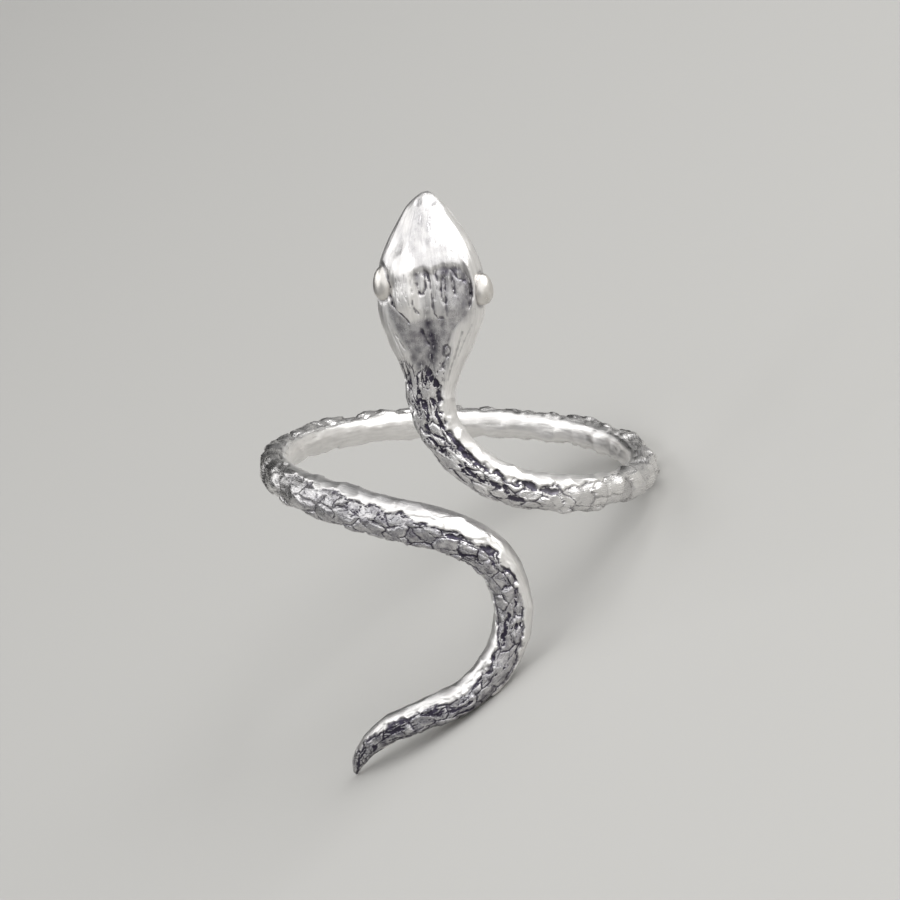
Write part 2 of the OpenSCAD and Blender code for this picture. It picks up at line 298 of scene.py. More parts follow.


# The head's own forms, and the heaviest cuts

# A place is s and x, or the pixel of the photo that it was picked at, turned into them by on_head,
# on_neck or on_bend.
# Engraved lines on the crown: width, depth, how black, and places
ENGRAVED = [
    (0.10, 0.06, 0.9, [on_head(424, 271), on_head(425, 288), on_head(423, 294), on_head(420, 295),
        on_head(418, 290), on_head(417, 283)]),
    (0.14, 0.07, 0.9, [(3.78, 0.05), (3.95, 0.1), on_head(429, 282)]),
    (0.10, 0.06, 0.75, [on_head(429, 282), on_head(431, 290), on_head(433, 307), on_head(435, 314),
        on_head(438, 318), on_head(443, 318)]),
    (0.13, 0.06, 0.9, [on_head(434, 270), on_head(435, 276), on_head(437, 281)]),
    (0.06, 0.03, 0.35, [on_head(438, 278), on_head(436, 290), on_head(435, 300)]),
    (0.08, 0.05, 0.85, [(4.0, 0.84), on_head(441, 290), on_head(442, 297), on_head(444, 303)]),
    (0.11, 0.06, 0.95, [on_head(444, 278), on_head(445, 292), on_head(446, 303)]),
    (0.09, 0.05, 0.55, [on_head(446, 303), on_head(447, 310), on_head(447, 316)]),
    (0.12, 0.06, 0.9, [on_head(450, 270), on_head(455, 276), on_head(460, 279), on_head(464, 281)]),
    (0.10, 0.05, 0.9, [(3.9, 1.27), on_head(453, 286), on_head(455, 295)]),
    (0.10, 0.05, 0.75, [on_head(414, 298), on_head(413, 303), on_head(415, 308), on_head(418, 313)]),
    (0.05, 0.02, 0.4, [on_head(404, 275), (4.5, -1.04), (5.0, -0.95)]),
    (0.05, 0.02, 0.4, [on_head(408, 274), on_head(411, 282), (4.6, -0.7)]),
    (0.05, 0.02, 0.35, [on_head(400, 280), on_head(403, 292), on_head(408, 300), (5.5, -0.8)]),
    (0.05, 0.02, 0.3, [(4.0, -1.5), (4.9, -1.45), (5.4, -1.2)]),
    (0.04, 0.02, 0.25, [(4.2, -1.66), (4.8, -1.64)]),
    (0.05, 0.02, 0.45, [(2.95, 1.33), (3.12, 1.5)]),
    (0.05, 0.01, 0.2, [(1.6, 0.3), (2.1, 0.42)]),
    (0.05, 0.01, 0.18, [(1.7, 0.5), (2.5, 0.6)]),
    (0.05, 0.01, 0.18, [(0.9, -0.45), (1.7, -0.62), (2.5, -0.75)]),
    (0.05, 0.01, 0.15, [(1.2, -0.1), (2.0, -0.12), (2.6, -0.05)]),
    (0.05, 0.01, 0.2, [(1.1, -1.2), (2.0, -1.6), (2.9, -2.1)]),
    (0.05, 0.02, 0.5, [on_head(463, 255), on_head(467, 261), (3.75, 2.2)]),
    (0.14, 0.05, 0.8, [on_head(421, 330), on_head(424, 338), on_head(428, 345)]),
    (0.12, 0.05, 0.75, [on_head(443, 352), (7.5, 0.8), (7.4, 0.93), (7.52, 1.08), (7.72, 1.11),
        (7.9, 1.03), on_head(446, 358), (7.9, 0.78), on_head(443, 352)]),
    (0.13, 0.03, 0.8, [(8.0, 0.92), (8.3, 0.8), (8.7, 0.6)]),
    (0.07, 0.04, 0.4, [(6.6, 1.75), (7.6, 1.45), (8.6, 1.15), (9.3, 1.0)]),
    (0.06, 0.03, 0.3, [(6.3, 2.2), (7.2, 1.8), (8.0, 1.5)]),
    (0.06, 0.03, 0.3, [(6.4, -2.0), (7.2, -1.68), (8.2, -1.25)]),
    (0.08, 0.03, 0.45, [(6.9, -1.65), (7.35, -1.42), (7.7, -1.2)]),
]
# The grooves down the crown's two sides, in the same way
GROOVES = [
    (0.08, 0.06, 0.7, [on_head(388, 272), on_head(388, 282), (4.4, -1.95)]),
    (0.17, 0.1, 1.0, [(4.4, -1.95), (4.7, -1.92), on_head(391, 298)]),
    (0.13, 0.08, 1.0, [on_head(391, 298), (5.38, -1.76), (5.6, -1.6), (5.75, -1.45),
        on_head(402, 314)]),
    (0.12, 0.07, 0.9, [on_head(402, 314), on_head(406, 318), (6.25, -0.96)]),
    (0.09, 0.08, 0.85, [(4.2, 2.14), (4.33, 2.18), (4.59, 2.2)]),
    (0.13, 0.1, 1.0, [(4.59, 2.2), (4.94, 2.16)]),
    (0.11, 0.09, 0.95, [(4.94, 2.16), (5.26, 2.11), (5.5, 2.05)]),
]
# The heaviest cuts on the neck and on the tail's bend, and creases that aren't black, in the same way
NECK_CUTS = [
    (0.2, 0.09, 1.0, [on_head(426, 370), on_head(430, 377), on_head(436, 386)]),
    (0.26, 0.1, 1.0, [on_head(436, 382), on_head(440, 390), on_neck(441, 402), on_head(444, 410),
        on_neck(447, 422), (12.5, 0.55)]),
    (0.32, 0.1, 1.0, [(12.5, 0.55), (13.02, 0.42), (13.91, 0.36), (14.72, 0.42), (15.3, 0.5)]),
    (0.2, 0.1, 1.0, [on_neck(486, 464), (15.72, 0.47), (16.34, 0.37), (16.86, 0.42), (17.61, 0.38),
        (18.28, 0.28), (19.2, 0.2)]),
    (0.12, 0.07, 0.95, [on_head(419, 392), on_head(421, 402), on_head(426, 414), on_head(429, 420)]),
    (0.14, 0.08, 1.0, [on_head(432, 400), on_head(436, 410), on_head(438, 420), on_head(444, 428)]),
    (0.1, 0.06, 0.8, [(10.43, -0.95), (10.75, -0.9), (11.2, -0.9)]),
    (0.09, 0.03, 0.8, [on_head(443, 358), on_head(440, 364), on_head(446, 370)]),
    (0.12, 0.08, 0.95, [on_neck(423, 402), on_neck(429, 416), on_neck(425, 426), on_neck(432, 434),
        on_neck(444, 440)]),
    (0.1, 0.07, 0.95, [on_neck(429, 438), on_neck(441, 450), on_neck(445, 454)]),
    (0.12, 0.07, 0.95, [on_neck(459, 466), on_neck(464, 472), on_neck(475, 478), on_neck(477, 474)]),
    (0.14, 0.08, 1.0, [on_neck(464, 464), on_neck(476, 478), on_neck(490, 484), on_neck(506, 488),
        on_neck(510, 498), on_neck(524, 502)]),
    (0.08, 0.06, 0.9, [on_neck(496, 484), on_neck(498, 490)]),
    (0.08, 0.06, 0.9, [on_neck(526, 490), on_neck(524, 498)]),
    (0.1, 0.06, 0.8, [on_neck(558, 494), on_neck(566, 502)]),
]
BEND_CUTS = [
    (0.08, 0.06, 0.9, [on_bend(343, 496), on_bend(345, 510), on_bend(351, 517), on_bend(358, 510),
        on_bend(359, 499)]),
    (0.09, 0.06, 0.95, [on_bend(373, 499), on_bend(374, 508), on_bend(385, 510), on_bend(393, 508),
        (72.61, 1.0)]),
    (0.08, 0.06, 0.9, [on_bend(371, 524), on_bend(377, 514), on_bend(383, 520)]),
    (0.14, 0.08, 1.0, [on_bend(399, 512), on_bend(407, 518), on_bend(421, 518), on_bend(435, 522)]),
    (0.13, 0.08, 1.0, [(75.12, 0.7), (75.25, 0.17), on_bend(455, 538), on_bend(465, 540)]),
    (0.16, 0.08, 1.0, [on_bend(465, 540), (76.6, 0.35), on_bend(485, 542.5), (77.59, 0.3),
        on_bend(492.5, 565)]),
    (0.15, 0.08, 0.9, [on_bend(460, 555), on_bend(475, 557.5), on_bend(482.5, 565)]),
    (0.1, 0.07, 0.9, [on_bend(505, 562.5), on_bend(502.5, 575)]),
    (0.1, 0.07, 1.0, [on_bend(446, 524), on_bend(447, 536), on_bend(462.5, 540),
        on_bend(477.5, 544), on_bend(490, 551)]),
    (0.07, 0.05, 0.9, [on_bend(501, 562.5), on_bend(507.5, 566), on_bend(510, 572.5),
        on_bend(509, 580)]),
    (0.08, 0.06, 0.95, [on_bend(515, 577.5), on_bend(517, 587.5), on_bend(516, 597.5),
        on_bend(517.5, 610)]),
    (0.08, 0.06, 0.9, [on_bend(510, 630), on_bend(517.5, 625), on_bend(525, 624)]),
    (0.1, 0.07, 0.9, [on_bend(515, 582.5), on_bend(516.25, 595)]),
    (0.13, 0.07, 0.95, [(81.12, -0.5), (82.1, -0.62), (82.99, -0.56)]),
    (0.1, 0.07, 0.9, [on_bend(525, 622.5), on_bend(517.5, 627.5)]),
    (0.14, 0.08, 1.0, [on_bend(492.5, 657.5), on_bend(480, 672.5), (86.05, -0.58), (86.71, -0.42)]),
    (0.15, 0.08, 1.0, [(86.96, -0.38), (87.66, -0.5), (88.63, -0.5), (89.63, -0.45), (90.63, -0.38),
        on_bend(375, 732.5)]),
]
CREASES = [
    (0.1, 0.05, 0.0, [(76.6, 1.08), (77.0, 0.98), (77.6, 0.68), (78.35, 0.52), on_bend(520, 572.5),
        on_bend(526, 580), (80.2, 0.92)]),
    (0.08, 0.04, 0.0, [(77.4, 1.04), (78.29, 0.8), (79.0, 0.84), (79.97, 0.95)]),
    (0.08, 0.035, 0.0, [(80.3, 0.78), (80.8, 0.6), (81.2, 0.72)]),
    (0.1, 0.035, 0.0, [(73.2, 0.98), (74.3, 0.86), (75.4, 0.94), (76.1, 1.04)]),
]
# Soft dark places: distance from the snout, across, half length, half width, how black
SMUDGES = [
    (3.95, -0.44, 0.3, 0.18, 0.85), (3.85, -0.04, 0.25, 0.2, 0.75), (3.95, 0.14, 0.25, 0.14, 0.6),
    (3.84, 0.5, 0.28, 0.12, 0.55), (3.82, 1.0, 0.3, 0.26, 0.9), (4.1, 0.9, 0.35, 0.18, 0.6),
    (3.82, 1.5, 0.26, 0.32, 0.75), (4.12, 1.85, 0.32, 0.2, 0.6), (4.3, 1.1, 0.4, 0.25, 0.4),
    (4.65, 2.0, 0.7, 0.14, 0.45), (5.4, 1.8, 0.5, 0.25, 0.4), (5.75, -0.04, 0.35, 0.17, 0.5),
    (6.3, 0.02, 0.45, 0.21, 0.8), (6.8, 0.15, 0.4, 0.25, 0.85), (7.15, 0.27, 0.35, 0.22, 1.0),
    (7.5, 0.22, 0.35, 0.22, 1.0), (8.0, 0.15, 0.5, 0.24, 0.95), (6.7, -0.3, 0.3, 0.12, 0.7),
    (7.1, -0.12, 0.3, 0.15, 0.75), (8.1, -0.75, 0.4, 0.2, 0.8), (7.65, -0.62, 0.2, 0.2, 0.5),
    (8.5, -0.4, 0.3, 0.3, 0.7), (6.2, 0.75, 0.5, 0.12, 0.3), (5.2, -1.7, 0.3, 0.14, 0.4),
]
# Ridges, and furrows where the height is below 0: half width, height, and places
RIDGES = [
    (0.16, 0.05, [on_head(405, 205), on_head(398, 225), on_head(390, 245), (3.1, -2.2)]),
    (0.13, -0.05, [(0.7, -0.86), on_head(403, 225), on_head(400, 240), (2.97, -1.75)]),
    (0.22, 0.14, [(2.5, -0.92), on_head(402, 254), on_head(396, 260), (3.44, -1.58), (3.83, -1.68),
        (4.28, -1.72)]),
    (0.17, 0.06, [(0.8, 0.85), (1.8, 1.5), (2.6, 1.85)]),
    (0.16, 0.3, [(3.0, 1.85), (3.5, 2.1), (3.92, 2.29), (4.39, 2.38), (4.92, 2.39), (5.39, 2.31),
        (5.7, 2.16)]),
    (0.3, 0.05, [(1.2, 0.1), (2.4, 0.25), (3.1, 0.3)]),
    (0.22, 0.2, [(2.9, 2.08), (3.4, 2.35), (4.1, 2.6)]),
    (0.16, 0.07, [(6.0, 2.05), (7.0, 1.62), (8.0, 1.3), (9.0, 1.05), (9.4, 1.0)]),
    (0.12, 0.05, [(6.3, 1.6), (7.0, 1.38), (8.0, 1.2)]),
    (0.14, 0.06, [(6.2, -2.15), (7.1, -1.8), (8.0, -1.4), (8.8, -1.15)]),
]
# Hollows: distance from the snout, across, half length, half width, depth
HOLLOWS = [
    (2.9, -0.45, 0.45, 0.5, 0.1), (1.5, -0.15, 0.7, 0.3, 0.03), (2.95, 0.62, 0.4, 0.4, 0.04),
    (5.2, -0.2, 0.5, 0.42, 0.05), (4.8, 1.5, 0.7, 0.42, 0.04), (6.5, 0.1, 0.9, 0.6, 0.05),
]
# Grey patches, partly a thin film and partly painted shade: distance from the snout, across, half
# length, half width, how strong
FILMS_AND_SHADE = [
    (2.8, -0.48, 0.5, 0.4, 0.5), (2.95, 0.62, 0.45, 0.45, 0.4), (1.45, -0.25, 0.9, 0.34, 0.65),
    (2.3, -1.2, 1.0, 0.2, 0.45), (3.3, -2.1, 0.4, 0.4, 0.4), (3.3, 0.5, 0.3, 1.0, 0.5),
    (1.6, 0.3, 0.7, 0.26, 0.65), (3.05, -0.1, 0.3, 0.7, 0.45), (2.35, 0.3, 0.5, 0.4, 0.55),
    (2.2, -0.6, 0.4, 0.3, 0.6), (2.75, 1.0, 0.35, 0.35, 0.4), (1.0, 0.1, 0.3, 0.3, 0.4),
    (0.7, 0.8, 0.3, 0.2, 0.3), (2.1, 0.9, 0.6, 0.2, 0.3), (5.5, 1.6, 0.6, 0.5, 0.7),
]
# The grey on the body's two sides: partly a film, as they are rubbed less than its back, partly
# painted shade. Distance from the snout, and how strong it is on the right eye's side and on the other
SIDE_FILM_AND_SHADE = [
    (9.5, 0.0, 0.0), (12.0, 0.0, 0.25), (17.0, 0.0, 0.42), (23.0, 0.0, 0.4), (30.0, 0.0, 0.0),
    (56.0, 0.0, 0.0), (62.0, 0.0, 0.3), (66.0, 0.0, 0.42), (69.0, 0.2, 0.42), (72.0, 0.42, 0.3),
    (76.0, 0.45, 0.1), (82.0, 0.45, 0.0), (85.0, 0.1, 0.2), (88.0, 0.0, 0.3), (94.0, 0.0, 0.3),
]
# The flat behind the crown, with its film and painted shade: distance from the snout, and its two sides
NECK_FLAT = [
    (4.9, -2.3, 2.0), (*on_head(385, 312), 1.95), (6.6, -1.85, 1.3), (7.38, -1.45, 1.1), (8.0, -1.1, 1.15),
    (9.5, -0.9, 1.0),
]
# The flat's front edge: place across, and distance from the snout. The brow's step: places.
FLAT_FROM = [(-2.3, 5.1), (-1.8, 5.6), (-1.3, 6.0), (-0.9, 6.25), (0.0, 5.9), (1.0, 5.9), (1.8, 5.6)]
BROW_STEP = [
    (3.75, -1.9), on_head(400, 272), on_head(412, 272), (3.6, -0.35), (3.52, -0.09), (3.64, 0.1),
    (3.76, 0.3), (3.62, 0.45), (3.5, 0.7), (3.44, 0.86), (3.5, 1.15), (3.44, 1.3), on_head(458, 265),
    on_head(464, 270), on_head(471, 283),
]
# The crown's two sides: distance from the snout, and place across
CROWN_LEFT = [(3.6, -1.4), (4.0, -1.72), (5.0, -1.83), (5.6, -1.6), (6.2, -0.9)]
CROWN_RIGHT = [(3.6, 1.9), (4.4, 2.22), (5.6, 2.1), (6.2, 1.75), (6.8, 1.4)]
# The film and painted shade on the flat, by distance from the snout, and on the crown, by place across
FLAT_FILM_AND_SHADE = [(6.0, 0.7), (7.5, 0.8), (9.2, 0.3)]
CROWN_FILM_AND_SHADE = [(-0.6, 0.0), (0.2, 0.25), (1.0, 0.6), (2.0, 0.7)]
# How high the crown rises behind its step, how much less it does right of its left plate, the share of
# that height by place across, and the heights of the left swelling and of the trough before the step
CROWN_RISE, PLATE_STEP, SWELLING, TROUGH = 0.32, 0.17, 0.16, 0.07
CROWN_SHARE = [(-0.7, 1.0), (0.3, 0.65)]
FLAT_DEEP, SMUDGE_DEEP = 0.05, 0.03
# How wide an engraved line's hollow, a heavy cut's and the black in both come, as shares of its width
LINE_SHARE, CUT_SHARE, BLACK_SHARE = 0.62, 0.6, 0.55
# The nostrils: distance from the snout, across, and how black
NOSTRILS = [(0.56, -0.33, 0.34), (0.54, 0.42, 0.46)]
NOSTRIL_DEEP = 0.06
# The mouth's line: its angles round the section, its half width in degrees, depth and blackness
MOUTH_ANGLES, MOUTH_HALF, MOUTH_DEEP, MOUTH_BLACK = (356, 184, -4), 4, 0.05, 0.6


def read_off(table, at):
    """The value in a table's second column, at a place in its first"""
    places, values = np.array(table).T
    return np.interp(at, places, values)


def off_line(s, x, places):
    """Distance from a line through the places, across the snake's skin"""
    near = np.full(x.shape, np.inf)
    for (s0, x0), (s1, x1) in zip(places, places[1:]):
        ds, dx = s1 - s0, x1 - x0
        t = np.clip(((s - s0) * ds + (x - x0) * dx) / (ds * ds + dx * dx), 0, 1)
        near = np.minimum(near, np.hypot(s - s0 - t * ds, x - x0 - t * dx))
    return near


def bell(d, half):
    return np.exp(-(d / half) ** 2)


def round_spot(ds, dx, half_l, half_w):
    return np.exp(-((ds / half_l) ** 2 + (dx / half_w) ** 2))


def heavy_cuts(s, x):
    """How deep the heaviest cuts go, and how black they are"""
    deep_here, black = np.zeros(x.shape), np.zeros(x.shape)
    for width, deep, how_black, places in NECK_CUTS + BEND_CUTS + CREASES:
        ends = [at for at, _ in places]
        near = (s[:, 0] > min(ends) - 0.6) & (s[:, 0] < max(ends) + 0.6)
        if near.any():
            # A hand's waver, so that a cut between two places isn't ruled straight
            wander = 0.04 * np.sin(7.3 * s[near] + 2.1) + 0.02 * np.sin(19 * s[near])
            d = off_line(s[near], x[near] + wander, places)
            deep_here[near] = np.maximum(deep_here[near], deep * bell(d, CUT_SHARE * width))
            black_here = how_black * np.clip(1.2 - d / (BLACK_SHARE * width), 0, 1)
            black[near] = np.maximum(black[near], black_here)
    return deep_here, black


def raised_forms(s, x, past, inside):
    """The head's ridges and furrows, the crown behind its step, the left swelling and the trough"""
    high = np.zeros(x.shape)
    for half, tall, places in RIDGES:
        ends = ease((s - places[0][0] + 0.15) / 0.7) * ease((places[-1][0] + 0.15 - s) / 0.7)
        high += tall * bell(off_line(s, x, places), half) * ends
    crown = CROWN_RISE * np.clip((s - 3.7) / 1.9, 0, 1) - np.interp(x, [-0.9, -0.4], [0.0, PLATE_STEP])
    crown *= ease((past + 0.1) / 0.35) * inside * (1 - ease((s - 5.2) / 1.5))
    high += crown * read_off(CROWN_SHARE, x)
    swelling = ease((s - 3.0) / 0.9) * ease((x + 1.7) / 0.3) * ease((-0.3 - x) / 0.5)
    high += SWELLING * swelling * (1 - ease((s - 4.6) / 1.5))
    trough = ease((past + 0.9) / 0.9) * (1 - ease((past - 0.1) / 0.4)) * ease((x + 0.9) / 0.5)
    high -= TROUGH * trough * inside
    return high


def neck_flat(s, x):
    """How far a place is on the flat behind the crown, from 0 to 1"""
    at, left, right = np.array(NECK_FLAT).T
    flat = ease((x - np.interp(s, at, left)) / 0.4) * ease((np.interp(s, at, right) - x) / 0.16)
    return flat * ease((s - read_off(FLAT_FROM, x) + 0.2) / 0.4)


def crown_forms(s, x):
    """Height over the plain head, how black the skin is there, and how strong its film and painted shade
    """
    step_at, step_across = np.array(BROW_STEP).T
    past = s - np.interp(x, step_across, step_at)
    inside = ease((x - read_off(CROWN_LEFT, s) + 0.06) / 0.16)
    inside *= ease((read_off(CROWN_RIGHT, s) - x + 0.06) / 0.16)
    high = raised_forms(s, x, past, inside)
    black = np.zeros(x.shape)
    # The lines are worn more in some places than in others
    worn = 0.8 + 0.4 * np.sin(8.3 * s + 3.1 * x) * np.sin(5.9 * x - 4.7 * s)
    for width, deep, how_black, places in ENGRAVED + GROOVES:
        d = off_line(s, x, places)
        high -= deep * bell(d, LINE_SHARE * width)
        black = np.maximum(black, how_black * ease(1.6 * worn - d / (BLACK_SHARE * width)))
    for at, side, half_l, half_w, how_black in SMUDGES:
        spot = round_spot(s - at, x - side, half_l, half_w)
        black = np.maximum(black, how_black * spot)
        high -= SMUDGE_DEEP * how_black * spot
    for at, side, half_l, half_w, deep in HOLLOWS:
        high -= deep * round_spot(s - at, x - side, half_l, half_w)
    flat = neck_flat(s, x)
    high -= FLAT_DEEP * flat * (1 - ease((s - 8.0) / 1.2))
    crown = inside * ease((past - 0.02) / 0.2) * (1 - ease((s - 5.8) / 0.4))
    # The grey on the flat and the crown is partly film, partly painted shade
    grey = np.maximum(read_off(FLAT_FILM_AND_SHADE, s) * flat, crown * read_off(CROWN_FILM_AND_SHADE, x))
    for at, side, half_l, half_w, strong in FILMS_AND_SHADE:
        grey = np.maximum(grey, strong * round_spot(s - at, x - side, half_l, half_w) ** 0.7)
    for at, side, how_black in NOSTRILS:
        off = np.hypot((s - at) / 1.1, x - side)
        high -= NOSTRIL_DEEP * ease((0.22 - off) / 0.2)
        black = np.maximum(black, how_black * ease((0.24 - off) / 0.12))
    top = ease((half_width(s) * rounded_ends(s) - np.abs(x)) / 0.2)
    return high * top * (1 - ease((s - 8.7) / 0.65)), black * top, grey * top


def head_forms(s, x, angle):
    """The crown's forms, kept to the head's back, with the mouth's line"""
    on_top = ease(np.sin(np.radians(angle)) / 0.35)
    high, black, grey = (v * on_top for v in crown_forms(s, x))
    mouth = sum(bell(angle - at, MOUTH_HALF) for at in MOUTH_ANGLES)
    mouth *= ease((s - 0.45) / 0.5) * ease((5.6 - s) / 0.8)
    return high, np.maximum(black, MOUTH_BLACK * mouth), grey, mouth


def side_film_and_shade(s, angle):
    """How strong the grey film and painted shade are on the body's two sides"""
    at, first, other = np.array(SIDE_FILM_AND_SHADE).T
    sideways = np.cos(np.radians(angle))
    grey = np.interp(s, at, first) * ease((sideways - 0.7) / 0.25)
    return grey + np.interp(s, at, other) * ease((-sideways - 0.7) / 0.25)


# The eyes: name, distance from the snout, across and outward places of the middle, and length
EYES = [("left_eye", 4.3, -2.22, 0.7, 1.8), ("right_eye", 4.76, 2.6, 0.46, 1.62)]
EYE_RADIUS = 0.64
# How full the drop's ends are, how much it narrows to the snout, and what keeps it within its radius
EYE_FULLNESS, EYE_TAPER, EYE_TRIM = 0.85, 0.12, 1.05
EYE_RINGS, EYE_SIDES = 40, 56
# The dip round each eye: where it lies and its half width, as shares of the eye, depth and blackness
SOCKET_AT, SOCKET_HALF, SOCKET_DEEP, SOCKET_BLACK = 1.08, 0.13, 0.06, 0.5


def eye_frame(s, across, outward):
    """An eye's middle, and the ways along the snake, outward and across there"""
    return placed(s, across, outward)[0], np.array([standing(v[0]) for v in directions(np.array([s]))])


def eye_sockets(points):
    """Where the skin dips round each eye"""
    dip = np.zeros(points.shape[:-1])
    for _, s, across, outward, length in EYES:
        centre, axes = eye_frame(s, across, outward)
        off = points - centre
        halves = (length / 2, EYE_RADIUS, EYE_RADIUS)
        far = np.sqrt(sum((off @ axis / half) ** 2 for axis, half in zip(axes, halves)))
        dip = np.maximum(dip, bell(far - SOCKET_AT, SOCKET_HALF))
    return dip


# Meshes

# Distance from the snout and the step between rings from there on
RING_STEPS = [
    (0.0, 0.05), (0.6, 0.075), (9.4, 0.075), (9.6, 0.082), (21.0, 0.085), (24.0, 0.15), (62.0, 0.15),
    (66.0, 0.085), (92.0, 0.08), (95.1, 0.05),
]
HEAD_SIDES, BODY_SIDES, SIDES_CHANGE = 164, 82, 9.4
# The first ring's distance from each end, and how long the rounds of the snout and the tip are
END_GAP, SNOUT_ROUND, TIP_ROUND = 0.02, 0.8, 0.12
# Where each ring of points starts, and the angles that the back and the carving keep within. The
# finger side has fewer points: its share of the back's.
SEAM, BACK_TO, CARVED_TO = -30, 212, 215
INSIDE_SHARE = 0.34
# The radius of the plain tube that the brush strokes are laid on
BRUSH_R = 1.27
# How deep the skin is worn where it would pass the solid's box, and how far it stays within the box
WORN, SPARE = 0.05, 0.02


def ring_places():
    at, steps = [END_GAP], np.array(RING_STEPS)
    while at[-1] < LENGTH - END_GAP:
        at.append(at[-1] + np.interp(at[-1], steps[:, 0], steps[:, 1]))
    at = np.array(at)
    return at[0] + (at - at[0]) * (LENGTH - END_GAP - at[0]) / (at[-1] - at[0])


def rounded_ends(s):
    """The snout and the tip of the tail close in a round"""
    snout = np.clip(s / SNOUT_ROUND, 0, 1)
    tip = np.clip((LENGTH - s) / TIP_ROUND, 0, 1)
    return np.sqrt(1 - (1 - snout) ** 2.2) * np.sqrt(1 - (1 - tip) ** 2)


def skin_rows(s, sides):
    """Angles, distance round the section from the back's middle, and across and outward places"""
    fine = np.linspace(SEAM, SEAM + 360, 721)
    s = s[:, None]
    share = rounded_ends(s)
    x, y = section(s, fine[None], share)
    step = np.hypot(np.diff(x, axis=1), np.diff(y, axis=1)) + 1e-9
    between = (fine[:-1] + fine[1:]) / 2
    on_back = ease((between - SEAM + 10) / 20) * ease((BACK_TO + 10 - between) / 20)
    weight = INSIDE_SHARE + (1 - INSIDE_SHARE) * on_back
    shared = np.concatenate([0 * s, np.cumsum(step * weight, axis=1)], 1)
    arc = np.concatenate([0 * s, np.cumsum(step, axis=1)], 1)
    top = [np.interp(90, fine, row) for row in arc]
    wanted = np.arange(sides) / sides
    angle = np.array([np.interp(wanted * row[-1], row, fine) for row in shared])
    round_it = np.array([np.interp(a, fine, row) - t for a, row, t in zip(angle, arc, top)])
    x, y = section(s, angle, share)
    return angle, round_it, x, y


def surface_normals(points):
    along = np.gradient(points, axis=0)
    around = np.roll(points, -1, 1) - np.roll(points, 1, 1)
    n = np.cross(around, along)
    return n / np.maximum(np.linalg.norm(n, axis=-1, keepdims=True), 1e-12)


def zone(s, round_it):
    """How far a place is inside the carving, in millimetres, less below 0 outside it"""
    degrees = np.arange(SEAM, CARVED_TO + 1)
    x, y = section(s[:, None], degrees[None])
    step = np.hypot(np.diff(x, axis=1), np.diff(y, axis=1))
    arc = np.concatenate([0 * x[:, :1], np.cumsum(step, axis=1)], 1)
    inner = []
    for row, here, low, high in zip(arc, round_it, carving(s, "from_angle"), carving(s, "to_angle")):
        first, top, last = np.interp([low, 90, high], degrees, row)
        inner.append(np.minimum(here - (first - top), last - top - here))
    return np.array(inner)


def snake_skin():
    """The skin as two stretches of rings, with the attributes that the carving and the silver read"""
    stations = ring_places()
    on_head = stations <= SIDES_CHANGE
    fine_s = np.linspace(0, LENGTH, 4000)
    scale_count = np.concatenate([[0], np.cumsum(np.diff(fine_s) / carving(fine_s[:-1], "length"))])
    parts = []
    for s, sides in ((stations[on_head], HEAD_SIDES), (stations[~on_head], BODY_SIDES)):
        angle, round_it, x, y = skin_rows(s, sides)
        plain = np.zeros(angle.shape)
        long_s = s[:, None] + plain
        if sides == HEAD_SIDES:
            high, black, grey, mouth = head_forms(long_s, x, angle)
        else:
            high, black, grey, mouth = plain, plain, side_film_and_shade(long_s, angle), plain
        cut, cut_black = (v * (np.sin(np.radians(angle)) > 0.1) for v in heavy_cuts(long_s, x))
        outward = y + (high - cut)
        points = placed(long_s.ravel(), x.ravel(), outward.ravel()).reshape(angle.shape + (3,))
        socket = eye_sockets(points)
        points -= (MOUTH_DEEP * mouth + SOCKET_DEEP * socket)[..., None] * surface_normals(points)
        turn = plain + 2 * math.pi * np.arange(sides) / sides
        along_scales = np.interp(long_s, fine_s, scale_count)
        begun = ease((s - CARVING_BEGINS) / (CARVING_FULL - CARVING_BEGINS))
        # The grey that goes to the skin is partly film, partly painted shade
        part = {
            "points": points, "inside_carving": zone(s, round_it),
            "scale_place": np.stack([along_scales, round_it / carving(s, "width")[:, None], plain], -1),
            "skin_mm": np.stack([long_s, round_it, plain], -1),
            "brush_way": np.stack([long_s, BRUSH_R * np.cos(turn), BRUSH_R * np.sin(turn)], -1),
            "patina": np.maximum(black, SOCKET_BLACK * socket), "film": grey, "heavy": cut_black,
        }
        for name in CARVED:
            part[name] = (carving(s, name) * begun)[:, None] + plain
        parts.append(part)
    return parts


def tube_faces(parts):
    """Quads along the snake, triangles where the number of sides halves, and a fan at each end"""
    faces, starts, first = [], [], 0
    for part in parts:
        rows, sides = part["film"].shape
        starts.append((first, rows, sides))
        i, j = np.meshgrid(np.arange(rows - 1), np.arange(sides), indexing="ij")
        a = first + i * sides + j
        b = first + i * sides + (j + 1) % sides
        faces += np.stack([b, a, a + sides, b + sides], -1).reshape(-1, 4).tolist()
        first += rows * sides
    (f0, r0, n0), (f1, r1, n1) = starts
    last = f0 + (r0 - 1) * n0
    for j in range(n1):
        a, b, c = last + 2 * j, last + (2 * j + 1) % n0, last + (2 * j + 2) % n0
        d, e = f1 + j, f1 + (j + 1) % n1
        faces += [[b, a, d], [c, b, d, e]]
    end = f1 + (r1 - 1) * n1
    faces += [[f0 + j, f0 + (j + 1) % n0, first] for j in range(n0)]
    faces += [[end + (j + 1) % n1, end + j, first + 1] for j in range(n1)]
    return faces


def in_scene(name, data):
    """An object of the data, in the scene"""
    thing = bpy.data.objects.new(name, data)
    bpy.context.scene.collection.objects.link(thing)
    return thing


def mesh_of(name, points_mm, faces):
    mesh = bpy.data.meshes.new(name)
    mesh.from_pydata((np.asarray(points_mm) * MM).tolist(), [], faces)
    mesh.validate()
    mesh.shade_smooth()
    return in_scene(name, mesh)


